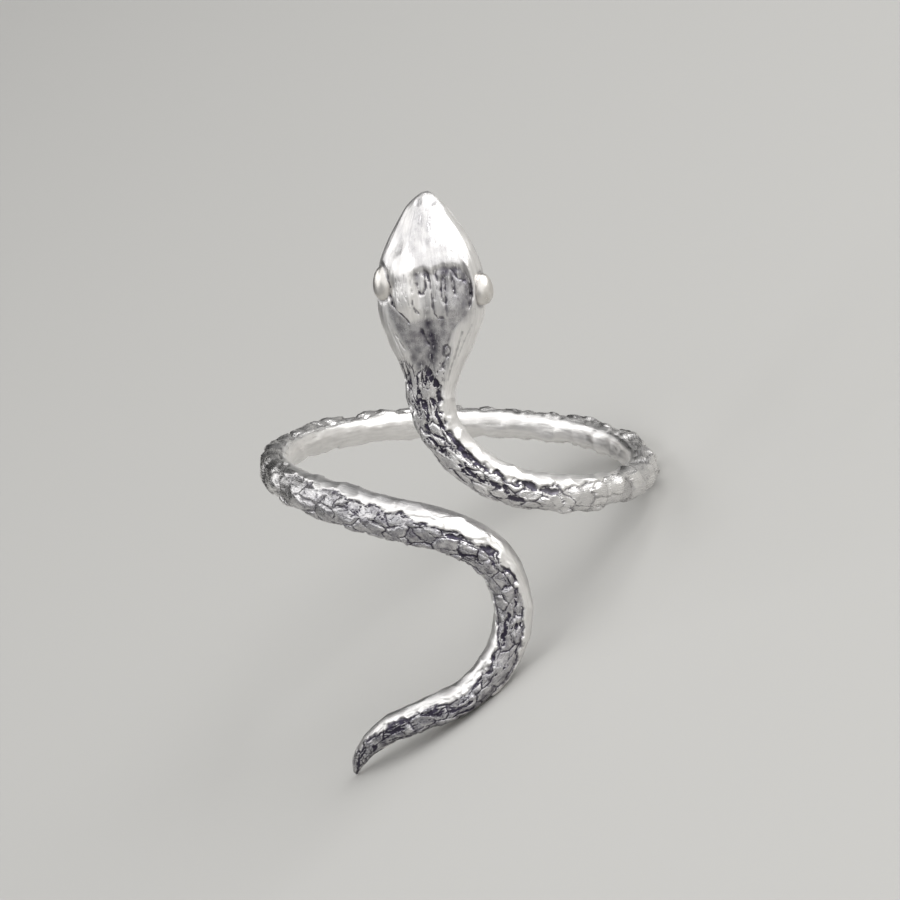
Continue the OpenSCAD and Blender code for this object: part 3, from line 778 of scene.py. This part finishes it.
def kept_inside(points):
    """Draws the outermost skin softly in, as it is worn, so that it stays within the solid's box"""
    low, high = np.array(cad_box[0]) / MM + SPARE, np.array(cad_box[1]) / MM - SPARE
    for sign, limit in ((1, high), (-1, -low)):
        over = sign * points - (limit - WORN)
        points = np.where(over > 0, sign * (limit - WORN + WORN * (1 - np.exp(-over / WORN))), points)
    return points


def make_snake():
    """The snake's whole skin as one closed mesh, its attributes on its points"""
    parts = snake_skin()
    rings = [part.pop("points").reshape(-1, 3) for part in parts]
    points = kept_inside(np.vstack(rings + [placed(0.0, 0, 0), placed(LENGTH, 0, 0)]))
    snake = mesh_of("snake_body", points, tube_faces(parts))
    for name in parts[0]:
        rows = [part[name].reshape((-1,) + part[name].shape[2:]) for part in parts]
        values = np.concatenate(rows + [rows[0][:1], rows[-1][-1:]]).astype(np.float32)
        kind, key = ("FLOAT_VECTOR", "vector") if values.ndim == 2 else ("FLOAT", "value")
        snake.data.attributes.new(name, kind, "POINT").data.foreach_set(key, values.ravel())
    return snake


# Nodes

# The kinds of node that are used most, their settings, and values that many share
MATH, VECTOR_MATH, MAP_RANGE = "ShaderNodeMath", "ShaderNodeVectorMath", "ShaderNodeMapRange"
NOISE, VORONOI, MIX = "ShaderNodeTexNoise", "ShaderNodeTexVoronoi", "ShaderNodeMix"
PRINCIPLED = "ShaderNodeBsdfPrincipled"
PLUS, MINUS, TIMES = {"operation": "ADD"}, {"operation": "SUBTRACT"}, {"operation": "MULTIPLY"}
TIMES_PLUS, LARGER = {"operation": "MULTIPLY_ADD"}, {"operation": "MAXIMUM"}
FLAT_NOISE = {"noise_dimensions": "2D"}
EDGES = {"voronoi_dimensions": "2D", "feature": "DISTANCE_TO_EDGE"}
CELLS = {"voronoi_dimensions": "2D", "feature": "F1"}
SCALES = {"Scale": 1.0, "Randomness": 0.9}
SMOOTH, SMOOTHER = {"interpolation_type": "SMOOTHSTEP"}, {"interpolation_type": "SMOOTHERSTEP"}
HALF = (0.5, 0.5, 0.5)


def add(tree, kind, into=None, output=0, **settings):
    """One node, with its settings, and its sockets set or linked. Gives back one of its outputs."""
    node = tree.nodes.new(kind)
    for name, value in settings.items():
        setattr(node, name, value)
    for socket, value in (into or {}).items():
        if isinstance(value, bpy.types.NodeSocket):
            tree.links.new(value, node.inputs[socket])
        else:
            node.inputs[socket].default_value = value
    return node.outputs[output] if node.outputs else None


def colour(code):
    """sRGB hex to linear"""
    parts = [int(code[i:i + 2], 16) / 255 for i in (1, 3, 5)]
    return tuple(c / 12.92 if c <= 0.04045 else ((c + 0.055) / 1.055) ** 2.4 for c in parts) + (1.0,)


def carved_scales_tree(material):
    """Cuts the scales: grooves between them, and each face tilted as a graver leaves it"""
    tree = bpy.data.node_groups.new("carved_scales", "GeometryNodeTree")
    tree.interface.new_socket("Geometry", in_out="INPUT", socket_type="NodeSocketGeometry")
    largest = {"Depth": 4, "Line width": 1, "Waver": 2, "Tilt": 4, "Planish": 2, "Seed": 999}
    for name, most in largest.items():
        socket = tree.interface.new_socket(name, in_out="INPUT", socket_type="NodeSocketFloat")
        socket.min_value, socket.max_value = 0, most
    tree.interface.new_socket("Geometry", in_out="OUTPUT", socket_type="NodeSocketGeometry")
    given = add(tree, "NodeGroupInput").node.outputs
    vectors = ("scale_place", "skin_mm")
    numbers = ("inside_carving", "groove_mm", "hammered", "heavy", "streaked", "bordered")
    read = {}
    for name in vectors + numbers:
        kind = "FLOAT_VECTOR" if name in vectors else "FLOAT"
        read[name] = add(tree, "GeometryNodeInputNamedAttribute", {"Name": name}, data_type=kind)
    skin = read["skin_mm"]

    # The rows waver, so that no two scales are alike
    moved = add(tree, VECTOR_MATH, {0: read["scale_place"], 1: given["Seed"]}, **PLUS)
    noise = add(tree, NOISE, {
        "Vector": moved, "Scale": 1.1, "Detail": 2.0, "Roughness": 0.6}, "Color", **FLAT_NOISE)
    centred = add(tree, VECTOR_MATH, {0: noise, 1: HALF}, **MINUS)
    shift = add(tree, VECTOR_MATH, {0: centred, "Scale": given["Waver"]}, operation="SCALE")
    cell_place = add(tree, VECTOR_MATH, {0: moved, 1: shift}, **PLUS)
    edge = add(tree, VORONOI, {"Vector": cell_place, **SCALES}, **EDGES)
    cell = add(tree, VORONOI, {"Vector": cell_place, **SCALES}, **CELLS).node.outputs

    # A groove runs wide, narrow and out again
    uneven = add(tree, NOISE, {
        "Vector": skin, "Scale": 0.85, "Detail": 3.0, "Roughness": 0.6}, **FLAT_NOISE)
    line_width = add(tree, MAP_RANGE, {
        "Value": uneven, "From Min": 0.38, "From Max": 0.66, "To Max": given["Line width"]})
    reach = add(tree, MATH, {0: line_width, 1: 0.06}, **PLUS)
    groove = add(tree, MAP_RANGE, {
        "Value": edge, "From Max": reach, "To Min": 1.0, "To Max": 0.0}, **SMOOTH)
    present = add(tree, MAP_RANGE, {"Value": line_width, "From Max": 0.05, "To Min": 0.25})
    engraved = add(tree, MAP_RANGE, {
        "Value": read["hammered"], "From Min": 0.9, "From Max": 1.3, "To Min": 1.0, "To Max": 0.0})
    present = add(tree, MATH, {0: present, 1: engraved}, **TIMES)
    groove = add(tree, MATH, {0: groove, 1: present}, **TIMES)

    # Each face leans its own way
    off_centre = add(tree, VECTOR_MATH, {0: cell_place, 1: cell["Position"]}, **MINUS)
    lean = add(tree, VECTOR_MATH, {0: cell["Color"], 1: HALF}, **MINUS)
    slope = add(tree, VECTOR_MATH, {0: lean, 1: off_centre}, "Value", operation="DOT_PRODUCT")
    slope = add(tree, MATH, {0: slope, 1: given["Tilt"]}, **TIMES)
    slope = add(tree, MATH, {0: slope, 1: read["hammered"], 2: 0.4}, **TIMES_PLUS, use_clamp=True)

    # Where the hammer worked, behind the finger, each scale is a low dome
    domed = add(tree, MAP_RANGE, {
        "Value": edge, "From Max": 0.42, "To Min": 1.0, "To Max": 0.0}, **SMOOTHER)
    rounded = add(tree, MAP_RANGE, {
        "Value": read["hammered"], "From Min": 0.7, "From Max": 1.3, "To Max": 0.5})
    domed = add(tree, MATH, {0: domed, 1: rounded}, **TIMES)
    slope = add(tree, MATH, {0: slope, 1: domed}, **PLUS)

    # The carving's edge is notched where the cuts run out, with a heavy cut beside it in places
    ragged = add(tree, NOISE, {"Vector": skin, "Scale": 1.5, "Detail": 2.0}, **FLAT_NOISE)
    ragged = add(tree, MATH, {0: ragged, 1: 0.9, 2: -0.45}, **TIMES_PLUS)
    inner = add(tree, MATH, {0: read["inside_carving"], 1: ragged}, **PLUS)
    within = add(tree, MAP_RANGE, {"Value": inner, "From Min": -0.05, "From Max": 0.1}, **SMOOTH)
    beside = add(tree, MATH, {0: inner, 1: 0.1}, **MINUS)
    beside = add(tree, MATH, {0: beside}, operation="ABSOLUTE")
    heavy = add(tree, MAP_RANGE, {
        "Value": uneven, "From Min": 0.4, "From Max": 0.62, "To Min": 0.3, "To Max": 2.2})
    heavy = add(tree, MATH, {0: heavy, 1: read["bordered"], 2: 0.001}, **TIMES_PLUS)
    border = add(tree, MAP_RANGE, {
        "Value": beside, "From Max": heavy, "To Min": 1.0, "To Max": 0.0}, **SMOOTH)

    # Long cuts that lie along the snake
    drawn_out = add(tree, VECTOR_MATH, {0: skin, 1: (0.8, 3.0, 1.0)}, **TIMES)
    streak = add(tree, NOISE, {
        "Vector": drawn_out, "Scale": 1.0, "Detail": 3.0, "Roughness": 0.6, "Distortion": 0.4},
        **FLAT_NOISE)
    streak = add(tree, MAP_RANGE, {"Value": streak, "From Min": 0.53, "From Max": 0.62}, **SMOOTH)
    streak = add(tree, MATH, {0: streak, 1: read["streaked"]}, **TIMES)
    cuts = add(tree, MATH, {0: border, 1: streak}, **LARGER)
    long_cuts = add(tree, MATH, {0: cuts, 1: read["heavy"]}, **LARGER)

    # The hammer left shallow dishes, that meet in ridges, everywhere but inside the ring
    dish_at = add(tree, VECTOR_MATH, {0: skin, 1: given["Seed"]}, **PLUS)
    dish = add(tree, VORONOI, {"Vector": dish_at, "Scale": 0.95, "Randomness": 0.9}, **CELLS)
    dish = add(tree, MATH, {0: dish, 1: 2.0}, operation="POWER")
    dish = add(tree, MATH, {0: 0.45, 1: dish}, **MINUS)
    struck = add(tree, MAP_RANGE, {
        "Value": read["inside_carving"], "From Min": -1.7, "From Max": -0.9,
        "To Max": given["Planish"]}, **SMOOTH)
    planish = add(tree, MATH, {0: dish, 1: struck}, **TIMES)

    # All of it, sunk into the skin
    sunk = add(tree, MATH, {0: groove, 1: slope}, **LARGER)
    sunk = add(tree, MATH, {0: sunk, 1: cuts}, **LARGER)
    sunk = add(tree, MATH, {0: sunk, 1: within, 2: planish}, **TIMES_PLUS)
    for share in (read["groove_mm"], given["Depth"], -MM):
        sunk = add(tree, MATH, {0: sunk, 1: share}, **TIMES)
    normal = add(tree, "GeometryNodeInputNormal")
    offset = add(tree, VECTOR_MATH, {0: normal, "Scale": sunk}, operation="SCALE")

    # What the silver reads of it
    shape = given["Geometry"]
    kept = {"cell_place": cell_place, "within": within, "long_cuts": long_cuts, "line_width": line_width}
    for name, value in kept.items():
        kind = "FLOAT_VECTOR" if name == "cell_place" else "FLOAT"
        shape = add(tree, "GeometryNodeStoreNamedAttribute", {
            "Geometry": shape, "Name": name, "Value": value}, data_type=kind)
    shape = add(tree, "GeometryNodeSetPosition", {"Geometry": shape, "Offset": offset})
    shape = add(tree, "GeometryNodeRealizeInstances", {"Geometry": shape})
    shape = add(tree, "GeometryNodeSetMaterial", {"Geometry": shape, "Material": material})
    add(tree, "NodeGroupOutput", {"Geometry": shape})
    return tree


def carve(piece, tree, **sizes):
    """Runs the tree on the piece and keeps the result as its plain mesh"""
    modifier = piece.modifiers.new("carved_scales", "NODES")
    modifier.node_group = tree
    for item in tree.interface.items_tree:
        key = item.name.lower().replace(" ", "_")
        if item.in_out == "INPUT" and key in sizes:
            modifier[item.identifier] = float(sizes[key])
    bpy.context.view_layer.update()
    graph = bpy.context.evaluated_depsgraph_get()
    evaluated = piece.evaluated_get(graph)
    carved = bpy.data.meshes.new_from_object(evaluated, preserve_all_data_layers=True, depsgraph=graph)
    piece.modifiers.remove(modifier)
    rough = piece.data
    piece.data = carved
    bpy.data.meshes.remove(rough)
    carved.name = piece.name
    carved.shade_smooth()


# The silver

BARE, BRUSHED = "#F6F4F2", "#E6E4E2"
# The greys of the film, which in part stand for painted shade, and the black of the sulphide
THIN_FILM_AND_SHADE, THICK_FILM_AND_SHADE, SULPHIDE = "#A5A4A8", "#716E77", "#423E4B"
DULL_EYE, BRIGHT_EYE = "#C8C4BE", "#ECE9E5"
# Roughness of the brushed metal between its strokes and in them, inside the ring and under the film
# and painted shade
BETWEEN_STROKES, IN_STROKES, WORN_BY_FINGER, UNDER_FILM = 0.27, 0.46, 0.2, 0.24


def new_material(name):
    material = bpy.data.materials.new(name)
    material.use_nodes = True
    material.node_tree.nodes.clear()
    return material


def oxidised_silver():
    """Cast sterling silver, brushed to a satin with its recesses blackened by liver of sulphur.

    The eye gets soft white highlights drawn out along the snake, grey faces and near-black cuts; the
    grey of the faces is partly painted shade.
    The attributes are in millimetres, so a pattern of scale 8 changes some eight times in each.
    """
    material = new_material("sterling_silver_satin_oxidised")
    tree = material.node_tree
    vectors = ("cell_place", "skin_mm", "brush_way")
    numbers = (
        "within", "long_cuts", "line_width", "blackened", "patina", "film", "filmed_and_shaded", "hammered",
        "inside_carving")
    read = {}
    for name in vectors + numbers:
        output = "Vector" if name in vectors else "Fac"
        read[name] = add(tree, "ShaderNodeAttribute", output=output, attribute_name=name)
    cell, skin = read["cell_place"], read["skin_mm"]

    # Groove lines, wide and narrow by turns, with a torn edge
    torn = add(tree, NOISE, {
        "Vector": skin, "Scale": 8.0, "Detail": 3.0, "Roughness": 0.7}, **FLAT_NOISE)
    edge = add(tree, VORONOI, {"Vector": cell, **SCALES}, **EDGES)
    edge = add(tree, MATH, {0: torn, 1: 0.14, 2: edge}, **TIMES_PLUS)
    edge = add(tree, MATH, {0: edge, 1: 0.07}, **MINUS)
    line = add(tree, MAP_RANGE, {
        "Value": edge, "From Max": read["line_width"], "To Min": 1.0, "To Max": 0.0}, **SMOOTH)
    present = add(tree, MAP_RANGE, {"Value": read["line_width"], "From Min": 0.005, "From Max": 0.05})
    line = add(tree, MATH, {0: line, 1: present}, **TIMES)

    # The long cuts, broken up, and fine cracks in places
    ragged = add(tree, MATH, {0: torn, 1: 1.1, 2: read["long_cuts"]}, **TIMES_PLUS)
    long_cuts = add(tree, MAP_RANGE, {"Value": ragged, "From Min": 0.92, "From Max": 1.15}, **SMOOTH)
    cracks = add(tree, VORONOI, {"Vector": cell, "Scale": 2.7, "Randomness": 1.0}, **EDGES)
    cracks = add(tree, MAP_RANGE, {"Value": cracks, "From Max": 0.09, "To Min": 1.0, "To Max": 0.0})
    where = add(tree, NOISE, {
        "Vector": skin, "Scale": 2.3, "Detail": 4.0, "Roughness": 0.65}, **FLAT_NOISE)
    some = add(tree, MAP_RANGE, {"Value": where, "From Min": 0.52, "From Max": 0.64, "To Max": 0.8})
    cracks = add(tree, MATH, {0: cracks, 1: some}, **TIMES)

    cuts = add(tree, MATH, {0: line, 1: long_cuts}, **LARGER)
    cuts = add(tree, MATH, {0: cuts, 1: cracks}, **LARGER)
    cuts = add(tree, MATH, {0: cuts, 1: read["within"]}, **TIMES)
    cuts = add(tree, MATH, {0: cuts, 1: read["blackened"]}, **TIMES)
    broken = add(tree, MAP_RANGE, {
        "Value": where, "From Min": 0.35, "From Max": 0.65, "To Min": 0.85, "To Max": 1.2})
    drawn = add(tree, MATH, {0: read["patina"], 1: broken}, **TIMES, use_clamp=True)
    black = add(tree, MATH, {0: cuts, 1: drawn}, **LARGER, use_clamp=True)

    # Specks where the brush has opened the black again
    flecks_at = add(tree, VECTOR_MATH, {0: skin, 1: (2.6, 7.0, 1.0)}, **TIMES)
    flecks = add(tree, NOISE, {
        "Vector": flecks_at, "Scale": 1.0, "Detail": 2.0, "Roughness": 0.5}, **FLAT_NOISE)
    flecks = add(tree, MAP_RANGE, {"Value": flecks, "From Min": 0.6, "From Max": 0.68, "To Max": 0.85})
    kept = add(tree, MATH, {0: 1.0, 1: flecks}, **MINUS)
    black = add(tree, MATH, {0: black, 1: kept}, **TIMES)

    # A thin grey film stays on the carved faces, on the crown and on the body's two sides, and in part
    # the same grey is painted shade
    film = add(tree, MATH, {0: read["within"], 1: read["filmed_and_shaded"]}, **TIMES)
    patchy = add(tree, MAP_RANGE, {"Value": where, "From Min": 0.35, "From Max": 0.6, "To Min": 0.55})
    film = add(tree, MATH, {0: film, 1: patchy}, **TIMES)
    spread = add(tree, MAP_RANGE, {
        "Value": where, "From Min": 0.35, "From Max": 0.6, "To Min": 0.7, "To Max": 1.05})
    mottled = add(tree, MATH, {0: read["film"], 1: spread}, **TIMES)
    film = add(tree, MATH, {0: film, 1: mottled}, **LARGER, use_clamp=True)
    beaten = add(tree, MATH, {0: read["hammered"], 1: read["within"]}, **TIMES)
    by_face = add(tree, VORONOI, {"Vector": cell, **SCALES}, "Color", **CELLS)
    by_face = add(tree, "ShaderNodeSeparateColor", {"Color": by_face})
    by_face = add(tree, MAP_RANGE, {"Value": by_face, "From Min": 0.45, "To Max": 0.3})
    by_face = add(tree, MATH, {0: by_face, 1: beaten}, **TIMES)
    film = add(tree, MATH, {0: film, 1: by_face}, **LARGER, use_clamp=True)

    # The brush runs along the snake: strokes about 2 mm long and 0.2 mm apart, with finer ones between
    strokes_at = add(tree, VECTOR_MATH, {0: read["brush_way"], 1: (0.9, 11.0, 11.0)}, **TIMES)
    strokes = add(tree, NOISE, {"Vector": strokes_at, "Scale": 1.0, "Detail": 4.0, "Roughness": 0.62})
    scratched = add(tree, MAP_RANGE, {
        "Value": strokes, "From Min": 0.32, "From Max": 0.62, "To Min": 1.0, "To Max": 0.0})
    bare = add(tree, MIX, {0: scratched, 6: colour(BARE), 7: colour(BRUSHED)}, 2, data_type="RGBA")
    stain = add(tree, NOISE, {
        "Vector": skin, "Scale": 1.5, "Detail": 5.0, "Roughness": 0.68, "Distortion": 0.5},
        **FLAT_NOISE)
    stain = add(tree, MAP_RANGE, {"Value": stain, "From Min": 0.42, "From Max": 0.62})
    grey = add(tree, MIX, {0: stain, 6: colour(THIN_FILM_AND_SHADE), 7: colour(THICK_FILM_AND_SHADE)}, 2, data_type="RGBA")
    face = add(tree, MIX, {0: film, 6: bare, 7: grey}, 2, data_type="RGBA")
    shade = add(tree, MIX, {0: black, 6: face, 7: colour(SULPHIDE)}, 2, data_type="RGBA")

    # Rough where it is brushed or black, smoother where a finger, a hammer or a rag has been
    satin = add(tree, MAP_RANGE, {
        "Value": strokes, "From Min": 0.3, "From Max": 0.7,
        "To Min": BETWEEN_STROKES, "To Max": IN_STROKES})
    worn = add(tree, MAP_RANGE, {
        "Value": read["inside_carving"], "From Min": -2.0, "From Max": -1.2,
        "To Min": 0.7, "To Max": 0.0})
    satin = add(tree, MIX, {0: worn, 2: satin, 3: WORN_BY_FINGER})
    satin = add(tree, MATH, {0: beaten, 1: -0.1, 2: satin}, **TIMES_PLUS)
    rubbed = add(tree, MATH, {0: film, 1: 1.3}, **TIMES, use_clamp=True)
    satin = add(tree, MIX, {0: rubbed, 2: satin, 3: UNDER_FILM})
    rough = add(tree, MATH, {0: black, 1: 0.15, 2: satin}, **TIMES_PLUS)
    grain = add(tree, NOISE, {
        "Vector": skin, "Scale": 14.0, "Detail": 3.0, "Roughness": 0.6}, **FLAT_NOISE)
    height = add(tree, MATH, {0: grain, 1: 0.5, 2: strokes}, **TIMES_PLUS)
    height = add(tree, MATH, {0: black, 1: -2.5, 2: height}, **TIMES_PLUS)
    bump = add(tree, "ShaderNodeBump", {"Strength": 0.6, "Distance": 0.03 * MM, "Height": height})
    silver = add(tree, PRINCIPLED, {
        "Base Color": shade, "Metallic": 1.0, "Roughness": rough, "Normal": bump})
    add(tree, "ShaderNodeOutputMaterial", {"Surface": silver})
    return material


def burnished_silver():
    """The same silver, rubbed smooth with a burnisher: the eyes catch the light in small bright spots."""
    material = new_material("sterling_silver_burnished")
    tree = material.node_tree
    place = add(tree, "ShaderNodeTexCoord", output="Object")
    wear = add(tree, NOISE, {"Vector": place, "Scale": 2.2 / MM, "Detail": 3.0})
    rub = add(tree, MAP_RANGE, {
        "Value": wear, "From Min": 0.3, "From Max": 0.7, "To Min": 0.26, "To Max": 0.4})
    tone = add(tree, MIX, {0: wear, 6: colour(DULL_EYE), 7: colour(BRIGHT_EYE)}, 2, data_type="RGBA")
    bump = add(tree, "ShaderNodeBump", {"Strength": 0.4, "Distance": 0.01 * MM, "Height": wear})
    silver = add(tree, PRINCIPLED, {
        "Base Color": tone, "Metallic": 1.0, "Roughness": rub, "Normal": bump})
    add(tree, "ShaderNodeOutputMaterial", {"Surface": silver})
    return material


# The eyes

def make_eye(name, s, across, outward, length):
    """A smooth drop pressed into the head, its long way along the snake"""
    t = np.linspace(0, math.pi, EYE_RINGS + 2)[1:-1, None]
    a = np.arange(EYE_SIDES) * 2 * math.pi / EYE_SIDES
    fat = EYE_RADIUS * np.sin(t) ** EYE_FULLNESS * (1 - EYE_TAPER * np.cos(t)) / EYE_TRIM
    rings = np.stack([0 * a - np.cos(t) * length / 2, fat * np.sin(a), fat * np.cos(a)], -1)
    ends = [[-length / 2, 0, 0], [length / 2, 0, 0]]
    centre, axes = eye_frame(s, across, outward)
    points = centre + np.vstack([rings.reshape(-1, 3), ends]) @ axes
    n, last, faces = EYE_SIDES, (EYE_RINGS - 1) * EYE_SIDES, []
    for first in range(0, last, n):
        for j in range(n):
            a, b = first + j, first + (j + 1) % n
            faces.append([a, b, b + n, a + n])
    faces += [[(j + 1) % n, j, last + n] for j in range(n)]
    faces += [[last + j, last + (j + 1) % n, last + n + 1] for j in range(n)]
    return mesh_of(name, kept_inside(points), faces)


def face_outwards(piece):
    """Turns the mesh's faces outwards if it was wound the other way"""
    bm = bmesh.new()
    bm.from_mesh(piece.data)
    if bm.calc_volume(signed=True) < 0:
        bmesh.ops.reverse_faces(bm, faces=bm.faces)
    bm.to_mesh(piece.data)
    bm.free()


# The object

silver = oxidised_silver()
burnished = burnished_silver()

snake = make_snake()
face_outwards(snake)
scales = carved_scales_tree(silver)
carve(snake, scales, depth=1.0, line_width=0.16, waver=0.5, tilt=4.0, planish=1.4, seed=3.0)

pieces = [snake]
for row in EYES:
    eye = make_eye(*row)
    face_outwards(eye)
    eye.data.materials.append(burnished)
    pieces.append(eye)

for piece in pieces:
    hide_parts("snake_ring")
    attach(piece, "root")

# Floor, camera and light

# Matt paper, which throws its light back evenly: a plain pale floor with no shine. Half its side is
# given in metres.
PAPER = 3.0
corners = [(-PAPER, -PAPER, 0), (PAPER, -PAPER, 0), (PAPER, PAPER, 0), (-PAPER, PAPER, 0)]
floor_mesh = bpy.data.meshes.new("floor")
floor_mesh.from_pydata(corners, [], [(0, 1, 2, 3)])
floor = in_scene("floor", floor_mesh)
paper = new_material("matt_paper")
matt = add(paper.node_tree, PRINCIPLED, {
    "Base Color": colour("#B8B7B4"), "Roughness": 0.9, "Specular IOR Level": 0.2})
add(paper.node_tree, "ShaderNodeOutputMaterial", {"Surface": matt})
floor.data.materials.append(paper)

# The camera looks a little down on the band's front, its roll being the ring's own lean
CAMERA_BACK, IMAGE_UP = standing(TO_CAMERA), standing(PHOTO_UP)
back = Vector(CAMERA_BACK).normalized()
upward = Vector(IMAGE_UP)
upward = (upward - upward.dot(back) * back).normalized()
turn = Matrix((upward.cross(back), upward, back)).transposed()
camera = in_scene("camera", bpy.data.cameras.new("camera"))
camera.data.lens, camera.data.sensor_width = LENS, SENSOR
camera.data.shift_x, camera.data.shift_y = SHIFT_X, SHIFT_Y
camera.data.clip_start, camera.data.clip_end = 0.01, 20.0
camera.matrix_world = Matrix.Translation((Vector(FINGER_CENTRE) + DISTANCE * back) * MM) @ turn.to_4x4()
bpy.context.scene.camera = camera

# A wide soft box beyond the snout's end, leaning to the camera, two cards on the left and one low on
# the right: the way to each from the ring, its distance and side in metres, and its radiance
MIDDLE = Vector((0.0, 0.0, 0.011))
TO_LEFT = np.cross(CAMERA_BACK, IMAGE_UP)
LIGHTS = [
    ("soft_box", IMAGE_UP * 0.62 + CAMERA_BACK * 0.78, 0.26, 0.66, 0.9),
    ("left_card", TO_LEFT * 0.9 + IMAGE_UP * 0.1 + CAMERA_BACK * 0.35, 0.4, 0.28, 1.25),
    ("far_left_card", TO_LEFT * 0.9 + IMAGE_UP * 0.35 - CAMERA_BACK * 0.15, 0.4, 0.24, 1.5),
    ("low_card", np.array([0.9, -0.35, 0.42]), 0.6, 0.5, 3.6),
]
for name, way, distance, size, radiance in LIGHTS:
    light = bpy.data.lights.new(name, "AREA")
    light.shape, light.size = "SQUARE", size
    light.energy = radiance * math.pi * size * size
    lamp = in_scene(name, light)
    way = Vector(way).normalized()
    lamp.location = MIDDLE + way * distance
    lamp.rotation_mode = "QUATERNION"
    lamp.rotation_quaternion = way.to_track_quat("Z", "Y")

# The room is even grey, but dark behind the ring, or views from that side would mirror flat white
ROOM_GREY, ROOM_DARK = 0.36, 0.03
BEHIND = (-0.3, 0.91, 0.28)
world = bpy.data.worlds.new("studio")
bpy.context.scene.world = world
world.use_nodes = True
world.node_tree.nodes.clear()
ways = add(world.node_tree, "ShaderNodeTexCoord", output="Generated")
behind = add(world.node_tree, VECTOR_MATH, {0: ways, 1: BEHIND}, "Value", operation="DOT_PRODUCT")
grey = add(world.node_tree, MAP_RANGE, {
    "Value": behind, "From Min": 0.5, "From Max": 0.92, "To Min": ROOM_GREY, "To Max": ROOM_DARK})
room = add(world.node_tree, "ShaderNodeBackground", {"Color": (1.0, 1.0, 1.0, 1.0), "Strength": grey})
add(world.node_tree, "ShaderNodeOutputWorld", {"Surface": room})
bpy.context.scene.view_settings.view_transform = "Standard"
